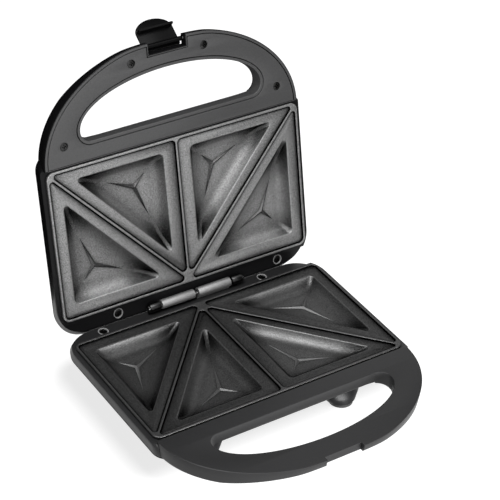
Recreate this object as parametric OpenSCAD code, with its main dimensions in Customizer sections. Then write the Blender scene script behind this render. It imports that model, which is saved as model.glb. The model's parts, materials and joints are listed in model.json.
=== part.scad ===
// Two-slice sandwich toaster, shown open: a base and a lid of one outline,
// each with a cast plate of four triangular pockets, a heater and a D handle.
// Both halves are drawn as a base lies: plate rim on z = 0, plate rear edge
// on y = 0. The lid is the same frame mirrored upwards and hinged open.

/* [Plates] */
// Width of each cooking plate
plate_w = 216; // [200:1:230]
// Depth of each cooking plate, front to rear
plate_d = 118; // [114:1:128]
// Corner radius of each plate
plate_r = 6; // [3:0.5:9]
// Height of the plate's rim above the ledge that carries it
plate_edge_h = 2.6; // [2.2:0.1:3.2]
// Thickness of the plate under its rim
plate_t = 4.4; // [4:0.1:6]
// Overlap of the plate on the ledge, each side
plate_seat = 4.4; // [3:0.2:5]
// Clearance round the lower part of the plate in the ledge
plate_clear = 0.3; // [0.2:0.1:0.6]
// Width of the raised rim round the plate
rim_w = 2.2; // [1.5:0.1:4]
// Width of the raised ribs that seal and cut the bread
rib_w = 2.4; // [1.5:0.1:4]
// Depth of the lands below the rim and ribs
land_drop = 1; // [0.5:0.1:1.2]
// Gap between the two rims when the lid is shut
plate_gap = 1; // [0.8:0.1:1.6]

/* [Pockets] */
// Leg of each pocket along the width
pocket_w = 74; // [66:1:78]
// Leg of each pocket along the depth
pocket_l = 81; // [74:1:84]
// Depth of each pocket at its middle, below the land
pocket_h = 7; // [5:0.5:8]
// Wall of the pocket bowls
pocket_wall = 2.4; // [2:0.1:3]
// Distance of a rear pocket from the side edge of the plate
pocket_side = 11.2; // [9:0.2:14]
// Distance of a rear pocket from the rear edge of the plate
pocket_rear = 12.1; // [11:0.1:14]
// Distance of a front pocket from the middle of the plate
pocket_mid = 11.6; // [11:0.1:14]
// Distance of a front pocket from the front edge of the plate
pocket_front = 10; // [8:0.5:12]
// Radius of a pocket's square corner
pocket_r = 4; // [2.5:0.5:6]
// Radius of a pocket's two sharp corners
pocket_tip = 2.2; // [1.6:0.2:4]

/* [Housings] */
// Width of the ledge that shows beside the plate
ledge_w = 3.5; // [2.8:0.1:5]
// Wall thickness of the plastic housings
wall = 2.2; // [1.8:0.1:2.8]
// Depth of the straight side band below the plate rim
band_h = 13; // [12.5:0.1:14]
// Draft of the side band, each side
draft = 1.8; // [0.5:0.1:3]
// Depth of each housing from the plate rim to its outside
half_h = 38; // [37:0.5:44]
// Depth of the rear shelf below the plate rim
shelf_drop = 5; // [4.8:0.1:5.4]
// Distance of the shelf's step behind the plate
shelf_y = 3.5; // [2.5:0.1:4]
// Radius of the rear corners
rear_r = 24; // [18:1:28]

/* [Handles] */
// Inset of the handle from the side of the body
handle_in = 3; // [1:0.5:6]
// Reach of the handle's oval in front of the body
handle_b = 77.5; // [74:0.5:84]
// Flattening of the handle's tip
tip_trim = 2.4; // [1:0.1:4]
// Radius of the handle's flattened tip
tip_arc = 420; // [300:10:600]
// Depth of the handle's side wall
handle_h = 12.5; // [12:0.1:12.5]
// Thickness of the handle at its tip
nose_h = 6.3; // [6:0.1:7]
// Radius of the arch on the handle's outer face
arch_r = 584; // [480:4:700]
// Width of the handle's bar at its tip
nose_w = 21.5; // [18:0.1:24]
// Width of the handle at either end of the D opening
grip_side = 31.5; // [27:0.5:36]
// Width of the bar between the body seam and the D opening
grip_bar = 14.2; // [12.5:0.1:15]
// Thickness of that bar
bar_h = 8.8; // [7.5:0.1:11]
// Radius of the D opening's rear corners
grip_r = 8.5; // [6:0.5:12]
// Edge break round the handle's flat face
handle_chamfer = 0.5; // [0.3:0.1:1]
// Thickness of the handles' cover panels
panel_t = 2.6; // [2.4:0.1:3]
// Width of the shell's rim round a cover panel
panel_rim = 3; // [2.4:0.1:4]
// Gap round the cover panels
panel_gap = 0.4; // [0.3:0.1:0.8]

/* [Hinge] */
// Distance of the hinge axis behind the plates
hinge_y = 10; // [9.6:0.1:10.6]
// Angle of the open lid, from shut
open_deg = 104.4; // [98:0.2:108]
// Outer radius of the hinge barrels
barrel_r = 3.6; // [3.2:0.1:3.8]
// Length of each long barrel
barrel_l = 29; // [22:0.5:30]
// Length of each short end barrel
barrel_end = 9; // [6:0.5:12]
// Offset of the middle of the barrels to the right
barrel_x = 3.8; // [0:0.1:6]
// Gap between the two long barrels
barrel_gap = 3.6; // [1:0.1:5]
// Gap between a long barrel and the end barrel beside it
end_gap = 1.4; // [0.6:0.1:2]
// Radius of the hinge pin
hinge_pin_r = 1.5; // [1.2:0.1:1.8]
// Radial clearance of a turning pin in its bore
pin_clear = 0.05; // [0.02:0.01:0.1]
// Thickness of the steel hinge leaves
leaf_t = 1.2; // [0.8:0.1:1.4]
// Clearance between the two rear bevels at full opening
bevel_clear = 0.25; // [0.2:0.05:0.5]

/* [Latch] */
// Width of the latch
latch_w = 30.4; // [26:0.2:32]
// Side clearance of the latch in the notches
latch_side = 0.4; // [0.3:0.1:0.8]
// Length of the latch from its axis to its tip
latch_l = 22.4; // [20.4:0.2:24]
// Thickness of the latch's tab
latch_t = 1.8; // [1.4:0.1:2.2]
// Distance of the latch axis behind the handle tip
latch_back = 4.9; // [4.5:0.1:5.2]
// Depth of the latch axis inside the lid's handle
latch_depth = 4.9; // [4.6:0.1:5]
// Radius of the latch barrel
latch_r = 1.8; // [1.6:0.1:2]
// Radius of the latch pin
latch_pin_r = 1; // [0.8:0.1:1.2]
// Reach of the lid's notch behind the handle tip
lid_notch = 9.5; // [9.3:0.1:10.4]
// Reach of the base's notch behind the handle tip
base_notch = 4.3; // [3:0.1:5]
// Rim of the lid's housing that shows beside the notch
notch_rim = 1.8; // [1.4:0.1:3]
// Play between the hook and the base's handle
hook_play = 0.6; // [0.6:0.1:1]
// Angle from the hooked latch to the flipped-up latch
latch_deg = 132.6; // [110:0.2:134]

/* [Feet] */
// Height of the plate rim above the table
face_h = 42; // [41:0.5:52]
// Distance between the left and right feet
feet_x = 122; // [100:1:130]
// Distance of the front feet in front of the plate's rear edge
front_feet_y = 108; // [100:1:110]
// Distance of the rear feet in front of the plate's rear edge
rear_feet_y = 0; // [0:1:12]
// Radius of each rubber foot
foot_r = 9.5; // [7:0.5:11]
// Height of each rubber foot below its leg
foot_h = 2.5; // [1.5:0.1:3]
// Half width of each leg where it leaves the cover
leg_x = 16.5; // [13:0.5:18]

/* [Heating] */
// Diameter of the tubular heaters
heater_d = 6.4; // [5:0.1:7]
// Bend radius of the heater
heater_bend = 12; // [9:1:16]
// Length of the heater's cold ends behind the loop
heater_end = 9; // [6:0.5:12]
// Thickness of the sheet steel heat shields
shield_t = 0.8; // [0.5:0.1:1.2]
// Gap between the heater and the heat shield
shield_gap = 2.2; // [1.5:0.1:3]

/* [Fasteners] */
// Radius of the screws' heads
screw_head_r = 3; // [2.6:0.1:3.2]
// Height of the screws' heads
screw_head_h = 1.4; // [1.2:0.1:1.6]
// Depth of the screws' heads below the face around them
screw_sink = 0.4; // [0.2:0.1:0.6]
// Radius of the screws' shanks
screw_r = 1.5; // [1.2:0.1:1.6]
// Radial clearance round the screws
screw_clear = 0.1; // [0.05:0.01:0.2]
// Radius of the bosses that take the screws
boss_r = 4.2; // [3.8:0.1:4.6]

/* [Controls] */
// Radius of the two indicator lenses
lens_r = 4; // [3:0.5:5]
// Distance between the two indicator lenses
lens_pitch = 22; // [14:1:30]
// Radius of the cord inlet's opening
inlet_r = 5.5; // [4.5:0.5:6]

/* [Hidden] */

$fn = 48;
hinge_z = plate_gap / 2;
half_deg = open_deg / 2;
body_x = plate_w / 2 + ledge_w;
seam_y = -plate_d - 1.5;
handle_a = body_x - handle_in;
tip_y = seam_y - handle_b + tip_trim;
grip_rear = seam_y - grip_bar;
root_y = seam_y - 9.2;
grip_y = grip_rear - grip_r;
grip_a = handle_a - grip_side;
grip_b = grip_y - tip_y - nose_w;
latch_y = tip_y + latch_back;
latch_z = plate_gap + latch_depth;
latch_out = 4;
// Keeps the open toaster's middle over the origin, front tip to latch tip.
origin_y = -(tip_y + hinge_y + (latch_y - hinge_y) * cos(open_deg)
    + (latch_z - hinge_z) * sin(open_deg) - (latch_out + latch_t) * cos(open_deg + latch_deg)
    - latch_l * sin(open_deg + latch_deg)) / 2;
latch_hole = latch_w / 2 + latch_side;
arch_z = -nose_h - arch_r;
pocket_hyp = sqrt(pocket_w * pocket_w + pocket_l * pocket_l);
pocket_in = (pocket_w + pocket_l - pocket_hyp) / 2;
heater_r = heater_d / 2;
heater_x = plate_w / 2 - pocket_side - pocket_in;
heater_front = -plate_d + pocket_front + pocket_in;
heater_rear = -pocket_rear - heater_bend;
heater_z = -land_drop - pocket_h - pocket_wall - heater_r;
shield_z = heater_z - heater_r - shield_gap;
post_x = plate_w / 2 - pocket_side - pocket_w / 2 - 5.6;
post_y = -pocket_rear - pocket_l / 2 - 7.4;
column_x = body_x - 28;
column_y = seam_y + 1.5;
column_z = -band_h - 2;
shelf_screw_y = 8;
lens_y = -plate_d + 38;
inlet_x = -26;
inlet_z = -21;

// Both rear bevels lie against the plane that halves the open angle.
function bevel_y(z) = hinge_y
    + ((hinge_z - z) * cos(half_deg) - bevel_clear) / sin(half_deg);
bevel_z = -band_h + 1.6;
rear_y = bevel_y(bevel_z);

// Housing outline at one depth: depth, side inset, front edge, rear edge, radii.
frame_rows = [[-band_h, draft, seam_y - 9, rear_y, 12, rear_r],
              [bevel_z, draft * 0.8, seam_y - 9, rear_y, 12, rear_r],
              [-shelf_drop, draft * 0.2, seam_y - 2, bevel_y(-shelf_drop), 4, rear_r],
              [-plate_edge_h, 0, seam_y - 1, bevel_y(-shelf_drop), 3, rear_r]];
dome_rows = [[-half_h, draft + 22, seam_y + 22, rear_y - 22, 22, rear_r - 8],
             [-half_h + 2.4, draft + 16, seam_y + 16.5, rear_y - 13, 20, rear_r - 5],
             [-half_h + 8, draft + 10.5, seam_y + 10, rear_y - 5, 18, rear_r - 2],
             [-half_h + 16, draft + 5, seam_y + 0.5, rear_y - 0.5, 16, rear_r],
             [-band_h, draft, seam_y - 9, rear_y, 12, rear_r]];

function arc_pts(cx, cy, r, a, n, z) = [for (k = [0:n]) let (t = a + 90 * k / n)
    [cx + r * cos(t), cy + r * sin(t), z]];
function row_ring(row, t) = let (x = body_x - row[1] - t, f = row[2] + t, b = row[3] - t,
    q = max(1, row[4] - t), r = max(1, row[5] - t), z = row[0])
    concat(arc_pts(x - q, f + q, q, 270, 5, z), arc_pts(x - r, b - r, r, 0, 9, z),
           arc_pts(r - x, b - r, r, 90, 9, z), arc_pts(q - x, f + q, q, 180, 5, z));
function soft_max(u, v) = (u + v + sqrt((u - v) * (u - v) + 1)) / 2;
function handle_pts(i) = [for (k = [0:56]) let (t = 180 + 180 * k / 56,
    x = (handle_a - i) * cos(t))
    [x, soft_max(seam_y + (handle_b - i) * sin(t), tip_y + i + x * x / (2 * tip_arc))]];
function grip_pts(g) = concat(
    [for (k = [0:40]) let (t = 180 + 180 * k / 40)
        [(grip_a + g) * cos(t), grip_y + (grip_b + g) * sin(t)]],
    [for (k = [1:6]) let (t = 15 * k)
        [grip_a - grip_r + (grip_r + g) * cos(t), grip_y + (grip_r + g) * sin(t)]],
    [for (k = [6:11]) let (t = 15 * k)
        [grip_r - grip_a + (grip_r + g) * cos(t), grip_y + (grip_r + g) * sin(t)]]);

// Skins a stack of equal point rings, lowest ring first.
module loft(rings) {
    n = len(rings[0]);
    k = len(rings);
    polyhedron(points = [for (r = rings) for (p = r) p],
        faces = concat([[for (i = [0:n - 1]) i]],
            [for (j = [0:k - 2]) for (i = [0:n - 1])
                [j * n + i, (j + 1) * n + i, (j + 1) * n + (i + 1) % n]],
            [for (j = [0:k - 2]) for (i = [0:n - 1])
                [j * n + i, (j + 1) * n + (i + 1) % n, j * n + (i + 1) % n]],
            [[for (i = [n - 1:-1:0]) (k - 1) * n + i]]), convexity = 8);
}

module both() {
    children();
    mirror([1, 0, 0]) children();
}

module in_base() translate([0, origin_y, face_h]) children();
module lid_pose() in_base() translate([0, hinge_y, hinge_z]) rotate([-open_deg, 0, 0])
    translate([0, -hinge_y, -hinge_z]) children();
module in_lid() lid_pose() translate([0, 0, plate_gap]) mirror([0, 0, 1]) children();
module in_latch() lid_pose() translate([0, latch_y, latch_z]) rotate([-latch_deg, 0, 0]) children();

// Rounded rectangle between the plate's edges moved in by a margin.
module plate_shape(m) {
    r = max(1, plate_r - m);
    x = plate_w / 2 - m;
    translate([-x + r, -plate_d + m]) square([2 * x - 2 * r, plate_d - 2 * m]);
    translate([-x, -plate_d + m + r]) square([2 * x, plate_d - 2 * m - 2 * r]);
    for (sx = [-1, 1]) for (y = [-m - r, -plate_d + m + r])
        translate([sx * (x - r), y]) circle(r);
}

// Screw with its head top on z = 0, pointing down, with a cross recess.
module screw(l) difference() {
    union() {
        translate([0, 0, -screw_head_h]) cylinder(h = screw_head_h, r = screw_head_r);
        translate([0, 0, -screw_head_h - l]) cylinder(h = l, r = screw_r);
    }
    for (a = [0, 90]) rotate([0, 0, a])
        translate([-screw_head_r * 0.6, -0.45, -0.9]) cube([screw_head_r * 1.2, 0.9, 1]);
}
// Room for that screw: a counterbore open upwards and a shank hole.
module screw_room(l, up) {
    translate([0, 0, -screw_head_h]) cylinder(h = up, r = screw_head_r + screw_clear * 2);
    translate([0, 0, -screw_head_h - l]) cylinder(h = l + 0.1, r = screw_r);
}

plate_screw_spots = [[0, -9.6], [0, -plate_d + 10.6], [plate_w / 2 - 11, -plate_d + 14],
                     [11 - plate_w / 2, -plate_d + 14]];
post_spots = [[post_x, post_y], [-post_x, post_y], [0, post_y]];
panel_spots = [[handle_a * 0.282, tip_y + 12.6], [handle_a * 0.84, seam_y - 15.3],
               [-handle_a * 0.282, tip_y + 12.6], [-handle_a * 0.84, seam_y - 15.3]];
under_spots = [[handle_a * 0.35, tip_y + 12.6], [handle_a * 0.62, tip_y + 26],
               [-handle_a * 0.35, tip_y + 12.6], [-handle_a * 0.62, tip_y + 26]];
column_spots = [[column_x, column_y], [-column_x, column_y]];
base_shelf_spots = [[-78, shelf_screw_y], [64, shelf_screw_y]];
lid_shelf_spots = [[-61, shelf_screw_y], [83, shelf_screw_y]];

// Rounded triangle of a pocket about its incentre, scaled and grown outwards.
function pocket_ring(s, z, g) = let (h = 180 + atan2(pocket_w, pocket_l),
    c = [[pocket_in, pocket_in], [pocket_in - pocket_w, pocket_in],
         [pocket_in, pocket_in - pocket_l]], a = [0, 90, h, 360])
    [for (i = [0:2]) for (k = [0:5]) let (t = a[i] + (a[i + 1] - a[i]) * k / 5,
        r0 = i == 0 ? pocket_r : pocket_tip, q = 1 - r0 / pocket_in, r = r0 + g)
        [s * (c[i][0] * q + r * cos(t)), s * (c[i][1] * q + r * sin(t)), z]];
module pocket_room() loft([pocket_ring(0.02, -pocket_h, 0), pocket_ring(0.6, -pocket_h * 0.74, 0),
    pocket_ring(0.87, -pocket_h * 0.42, 0), pocket_ring(1, 0, 0), pocket_ring(1, land_drop + 1, 0)]);
module pocket_bowl() loft([pocket_ring(0.02, -pocket_h - pocket_wall, pocket_wall),
    pocket_ring(0.6, -pocket_h * 0.74 - pocket_wall, pocket_wall),
    pocket_ring(0.87, -pocket_h * 0.42 - pocket_wall, pocket_wall),
    pocket_ring(1, -pocket_wall, pocket_wall), pocket_ring(1, -1, pocket_wall)]);
module at_pockets() both() {
    translate([plate_w / 2 - pocket_side - pocket_in, -pocket_rear - pocket_in, -land_drop])
        children();
    translate([pocket_mid + pocket_in, -plate_d + pocket_front + pocket_in, -land_drop])
        rotate([0, 0, 180]) children();
}

hub_x = 8;
hub_y = 8;
rib_from = 2;
module rib_to(x) {
    len = sqrt(x * x + (plate_d - rib_from) * (plate_d - rib_from));
    translate([0, -rib_from]) rotate(atan2(rib_from - plate_d, x))
        translate([0, -rib_w / 2]) square([len + rib_w, rib_w]);
}
module raised_shape() {
    difference() {
        plate_shape(0);
        plate_shape(rim_w);
    }
    intersection() {
        plate_shape(rim_w / 2);
        union() {
            for (x = [-plate_w / 2, 0, plate_w / 2]) rib_to(x);
            polygon([[-hub_x, 0], [hub_x, 0], [hub_x * 0.6, -hub_y], [-hub_x * 0.6, -hub_y]]);
        }
    }
}

seat_w = 9;
lug_h = shelf_drop + wall - plate_t;
module heater_run(r) {
    translate([-heater_x + heater_bend, heater_front, heater_z]) rotate([0, 90, 0])
        cylinder(h = 2 * (heater_x - heater_bend), r = r);
    both() {
        translate([heater_x, heater_rear + heater_end, heater_z]) rotate([90, 0, 0])
            cylinder(h = heater_rear + heater_end - heater_front - heater_bend, r = r);
        translate([heater_x - heater_bend, heater_front + heater_bend, heater_z])
            rotate([0, 0, -90]) rotate_extrude(angle = 90) translate([heater_bend, 0]) circle(r);
    }
}

module plate() difference() {
    union() {
        translate([0, 0, -plate_edge_h]) linear_extrude(plate_edge_h - land_drop) plate_shape(0);
        translate([0, 0, -plate_t]) linear_extrude(plate_t - land_drop - 0.1)
            plate_shape(plate_seat + plate_clear);
        translate([0, 0, -land_drop - 0.1]) linear_extrude(land_drop + 0.1) raised_shape();
        at_pockets() pocket_bowl();
        for (s = post_spots) translate([s[0], s[1], shield_z])
            cylinder(h = -plate_t + 0.1 - shield_z, r = boss_r);
        for (s = [[0, heater_front], [heater_x, post_y], [-heater_x, post_y]])
            translate([s[0] - seat_w / 2, s[1] - seat_w / 2, heater_z])
                cube([seat_w, seat_w, -plate_t + 0.1 - heater_z]);
    }
    at_pockets() pocket_room();
    heater_run(heater_r);
    for (s = plate_screw_spots) translate([s[0], s[1], -plate_t - 0.1])
        cylinder(h = plate_t - land_drop - 1.1, r = screw_r);
    for (s = post_spots) translate([s[0], s[1], shield_z - 0.1]) cylinder(h = 8.1, r = screw_r);
}

module heater() {
    heater_run(heater_r);
    both() translate([heater_x - 3, heater_rear + heater_end - 0.5, heater_z - 0.4])
        cube([6, 7.5, 0.8]);
}

shield_edge = shield_gap - 0.4;
shield_x = heater_x + 12;
shield_front = heater_front - 8;
shield_rear = heater_rear + 6;
module heat_shield() difference() {
    translate([-shield_x, shield_front, shield_z - shield_t])
        cube([2 * shield_x, shield_rear - shield_front, shield_t + shield_edge]);
    translate([shield_t - shield_x, shield_front + shield_t, shield_z])
        cube([2 * (shield_x - shield_t), shield_rear - shield_front - 2 * shield_t, shield_edge + 1]);
    for (s = post_spots) translate([s[0], s[1], shield_z - shield_t - 0.1])
        cylinder(h = shield_t + 0.2, r = screw_r + screw_clear);
}

// Screws that stand head down, their heads' inner faces on the given depth.
module up_screws(spots, z, l) for (s = spots)
    translate([s[0], s[1], z - screw_head_h]) mirror([0, 0, 1]) screw(l);
module shield_screws() up_screws(post_spots, shield_z - shield_t, shield_t + 7);
module plate_screws() up_screws(plate_screw_spots, -plate_t - lug_h, lug_h + 1.9);

function ring_at(i, z) = [for (p = handle_pts(i)) [p[0], p[1], z]];
module handle_block() loft([ring_at(1.5, -handle_h), ring_at(0, -1.5),
    ring_at(0, -handle_chamfer), ring_at(handle_chamfer, 0)]);
module arch(t) translate([0, grip_rear - 0.2, arch_z]) rotate([90, 0, 0])
    cylinder(h = handle_b, r = arch_r + t, $fn = 200);

module panel_shape(g) difference() {
    polygon(handle_pts(panel_rim - g));
    translate([-body_x, seam_y - 1 + g]) square([2 * body_x, 20]);
    polygon(grip_pts(panel_rim - g));
    translate([-latch_hole - notch_rim + g, tip_y - 5])
        square([2 * (latch_hole + notch_rim - g), lid_notch + notch_rim - g + 5]);
}
// The cover under the base's handle: two arched strips beside the notch.
module under_shape(g) difference() {
    polygon(handle_pts(panel_rim + 0.6 - g));
    translate([-body_x, grip_rear]) square([2 * body_x, 40]);
    polygon(grip_pts(panel_rim - g));
    translate([-latch_hole - 5 + g, tip_y - 5]) square([2 * (latch_hole + 5 - g), 60]);
    both() translate([grip_a - 3 + g, grip_rear - 70]) square([60, 90]);
}
module under_cover(g) intersection() {
    translate([0, 0, -handle_h - 1]) linear_extrude(handle_h) under_shape(g);
    difference() {
        arch(panel_t + g);
        if (g == 0) arch(0);
    }
}

knuckles = [[barrel_x - barrel_gap / 2 - barrel_l - end_gap - barrel_end, barrel_end],
            [barrel_x - barrel_gap / 2 - barrel_l, barrel_l],
            [barrel_x + barrel_gap / 2, barrel_l],
            [barrel_x + barrel_gap / 2 + barrel_l + end_gap, barrel_end]];
base_knuckles = [knuckles[0], knuckles[2]];
lid_knuckles = [knuckles[1], knuckles[3]];
leaf_z = -shelf_drop - wall - leaf_t;
leaf_y = hinge_y - 12;
hinge_screw_spots = [[knuckles[1][0] + 6, hinge_y - 7.5], [knuckles[2][0] + barrel_l - 6, hinge_y - 7.5]];
module hinge_bracket(list, bore) difference() {
    union() {
        for (k = list) {
            translate([k[0], hinge_y, hinge_z]) rotate([0, 90, 0]) cylinder(h = k[1], r = barrel_r);
            translate([k[0], hinge_y - leaf_t / 2, leaf_z])
                cube([k[1], leaf_t, hinge_z - barrel_r / 2 - leaf_z]);
        }
        translate([list[0][0], leaf_y, leaf_z])
            cube([list[1][0] + list[1][1] - list[0][0], hinge_y + leaf_t / 2 - leaf_y, leaf_t]);
    }
    for (k = list) translate([k[0] - 1, hinge_y, hinge_z]) rotate([0, 90, 0])
        cylinder(h = k[1] + 2, r = bore);
    for (s = hinge_screw_spots) translate([s[0], s[1], leaf_z - 1])
        cylinder(h = leaf_t + 2, r = screw_r + screw_clear);
}
module hinge_screws() up_screws(hinge_screw_spots, leaf_z, leaf_t + 3.2);

shelf_ring = 0.6;
module shelf_screws(spots) for (s = spots)
    translate([s[0], s[1], -shelf_drop + shelf_ring - screw_sink]) screw(9);

// The frame of one half: side band, ledge, rear shelf and handle in one piece.
module half_frame(list, shelf_spots) difference() {
    union() {
        difference() {
            union() {
                difference() {
                    loft([for (r = frame_rows) row_ring(r, 0)]);
                    translate([-body_x - 1, shelf_y, -shelf_drop])
                        cube([2 * body_x + 2, 60, shelf_drop]);
                }
                handle_block();
            }
            loft([for (r = [[-band_h - 1, draft, root_y, rear_y, 16, rear_r],
                            [bevel_z, draft * 0.8, root_y, rear_y, 16, rear_r],
                            [-shelf_drop - wall, draft * 0.4, root_y,
                             bevel_y(-shelf_drop - wall), 16, rear_r]]) row_ring(r, wall)]);
        }
        for (s = shelf_spots) translate([s[0], s[1], -shelf_drop - wall - 1.5])
            cylinder(h = wall + 1.5 + shelf_ring, r = boss_r + 0.8);
        for (s = column_spots) translate([s[0], s[1], column_z])
            cylinder(h = -column_z - handle_h / 2, r = boss_r);
        for (s = plate_screw_spots) translate([s[0] - 6, s[1] - 6, -plate_t - lug_h])
            cube([12, 12, lug_h]);
        for (y = [-11, plate_seat - plate_d - 4]) translate([-6, y, -plate_t - lug_h])
            cube([12, 10, lug_h]);
        both() translate([plate_w / 2 - 12, -plate_d + 8, -plate_t - lug_h])
            cube([12, 12, lug_h]);
    }
    translate([0, 0, -plate_t]) linear_extrude(plate_t + 1) plate_shape(plate_seat);
    difference() {
        translate([0, 0, -shelf_drop - wall - 1]) linear_extrude(shelf_drop + wall)
            plate_shape(plate_seat);
        for (s = plate_screw_spots) translate([s[0] - 6, s[1] - 6, -20]) cube([12, 12, 20]);
        for (y = [-11, plate_seat - plate_d - 4]) translate([-6, y, -20]) cube([12, 10, 20]);
        both() translate([plate_w / 2 - 12, -plate_d + 8, -20]) cube([12, 12, 20]);
    }
    translate([0, 0, -handle_h - 1]) linear_extrude(handle_h + 2) polygon(grip_pts(0));
    arch(0);
    translate([-grip_a, grip_rear - 0.3, -handle_h - 1])
        cube([2 * grip_a, root_y - grip_rear + 0.3, handle_h + 1 - bar_h]);
    for (k = list) translate([k[0] - 0.4, hinge_y - leaf_t / 2 - 0.3, -shelf_drop - wall - 0.1])
        cube([k[1] + 0.8, leaf_t + 0.6, wall + 0.2]);
    for (s = hinge_screw_spots) translate([s[0], s[1], -shelf_drop - wall - 0.1])
        cylinder(h = 3.3, r = screw_r);
    for (s = shelf_spots) {
        translate([s[0], s[1], -shelf_drop + shelf_ring - screw_sink - screw_head_h])
            cylinder(h = 5, r = screw_head_r + 0.3);
        translate([s[0], s[1], -shelf_drop - wall - 2]) cylinder(h = 5, r = screw_r + screw_clear);
    }
    for (s = column_spots) translate([s[0], s[1], column_z - 0.1]) cylinder(h = 6.1, r = screw_r);
    for (s = plate_screw_spots) translate([s[0], s[1], -plate_t - lug_h - 0.1])
        cylinder(h = lug_h + 0.2, r = screw_r + screw_clear);
}

column_seat = 2.5;
module column_screws() up_screws(column_spots, column_z - column_seat, column_seat + 5.8);

function dome_top(z) = concat(dome_rows, [[z, draft, seam_y - 9, rear_y, 12, rear_r]]);
module half_cover(shelf_spots) difference() {
    union() {
        difference() {
            loft([for (r = dome_rows) row_ring(r, 0)]);
            loft([for (r = dome_top(-band_h + 1)) row_ring([r[0] < -half_h + 3 ? r[0] + wall : r[0],
                r[1], r[2], r[3], r[4], r[5]], wall)]);
        }
        intersection() {
            loft([for (r = dome_top(-shelf_drop - wall)) row_ring(r, 0.4)]);
            union() {
                for (s = shelf_spots) translate([s[0], s[1], -half_h])
                    cylinder(h = half_h - shelf_drop - wall - 1.5, r = boss_r);
                for (s = column_spots) translate([s[0], s[1], -half_h])
                    cylinder(h = half_h + column_z, r = boss_r);
            }
        }
    }
    for (s = shelf_spots) translate([s[0], s[1], -shelf_drop + shelf_ring - screw_sink - 10.5])
        cylinder(h = 12, r = screw_r);
    for (s = column_spots) {
        translate([s[0], s[1], -half_h - 1])
            cylinder(h = half_h + 1 + column_z - column_seat, r = screw_head_r + 0.3);
        translate([s[0], s[1], column_z - column_seat - 1])
            cylinder(h = column_seat + 2, r = screw_r + screw_clear);
    }
}

module base_housing() color("DimGray") in_base() difference() {
    half_frame(base_knuckles, base_shelf_spots);
    translate([-latch_hole, tip_y - 5, -handle_h - 1])
        cube([2 * latch_hole, base_notch + 5, handle_h + 2]);
    under_cover(panel_gap);
    for (s = under_spots) translate([s[0], s[1], arch_at(s[0]) + panel_t - 0.1])
        cylinder(h = 3.1, r = screw_r);
}
// Depth of the handle's arched underside at a distance from the middle.
function arch_at(x) = arch_z + sqrt(arch_r * arch_r - x * x);
module base_handle_covers() color("DarkSlateGray") in_base() difference() {
    under_cover(0);
    for (s = under_spots) {
        translate([s[0], s[1], -handle_h - 5])
            cylinder(h = handle_h + 5 + arch_at(s[0]) + screw_sink + screw_head_h,
                r = screw_head_r + 0.2);
        translate([s[0], s[1], -handle_h]) cylinder(h = handle_h, r = screw_r + screw_clear);
    }
}
module base_handle_screws() color("Silver") in_base() for (s = under_spots)
    up_screws([s], arch_at(s[0]) + screw_sink + screw_head_h,
        panel_t - screw_sink - screw_head_h + 2.9);

leg_z = -face_h + foot_h;
function leg_ring(x, w, y, d, z) = [for (k = [0:31]) let (t = 360 * k / 32)
    [x + w * cos(t), y + d * sin(t), z]];
module leg(x, y, lean) loft([leg_ring(x, foot_r, y, foot_r, leg_z),
    leg_ring(x, leg_x, y + lean * 0.4, foot_r + 1, leg_z + 5.5),
    leg_ring(x, leg_x, y + lean, foot_r + 1, -half_h + 9)]);
foot_spots = [[feet_x / 2, -front_feet_y], [-feet_x / 2, -front_feet_y],
              [feet_x / 2, -rear_feet_y], [-feet_x / 2, -rear_feet_y]];
module base_bottom_cover() color("SlateGray") in_base() difference() {
    union() {
        half_cover(base_shelf_spots);
        difference() {
            for (s = foot_spots) leg(s[0], s[1], s[1] < -50 ? 6 : -6);
            loft([for (r = dome_rows) row_ring(r, wall / 2)]);
        }
    }
    for (s = foot_spots) translate([s[0], s[1], leg_z - 0.1]) cylinder(h = 3.1, r = 3);
    translate([inlet_x, rear_y + 5, inlet_z]) rotate([90, 0, 0]) cylinder(h = 15, r = inlet_r);
}
module rubber_feet() color("Black") in_base() for (s = foot_spots) translate([s[0], s[1], -face_h]) {
    cylinder(h = foot_h, r = foot_r);
    cylinder(h = foot_h + 3, r = 3);
}
module cord_inlet_bush() color("Gray") in_base() translate([inlet_x, rear_y + 0.8, inlet_z])
    rotate([90, 0, 0]) difference() {
        union() {
            cylinder(h = 9, r = inlet_r);
            translate([0, 0, 7]) cylinder(h = 2, r = inlet_r + 1.5);
        }
        translate([0, 0, -1]) cylinder(h = 12, r = inlet_r - 2);
    }

floor_z = -half_h + wall;
block_x = 15;
block_y = -15;
module terminal_block() color("Ivory") in_base() translate([inlet_x, block_y, floor_z]) difference() {
    translate([-block_x, -7, 0]) cube([2 * block_x, 14, 11]);
    for (x = [-10, 0, 10]) translate([x, 0, 7]) cylinder(h = 5, r = 2.2);
}
thermostat_r = 8;
thermostat_h = 6;
thermostat_y = -50;
module thermostat() color("Tan") in_base()
    translate([inlet_x, thermostat_y, shield_z - shield_t - thermostat_h]) {
        cylinder(h = thermostat_h, r = thermostat_r);
        translate([-11, -3, thermostat_h - 1]) cube([22, 6, 1]);
    }
wire_r = 1.3;
wire_y = heater_rear + heater_end + 5.5;
wire_z = floor_z + 6;
fuse_x = 28;
module thermal_fuse() color("White") in_base() {
    translate([fuse_x - 7, wire_y, wire_z]) rotate([0, 90, 0]) cylinder(h = 14, r = 2.6);
    translate([fuse_x - 3, wire_y - 3, floor_z]) cube([6, 6, wire_z - floor_z]);
}
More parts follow.
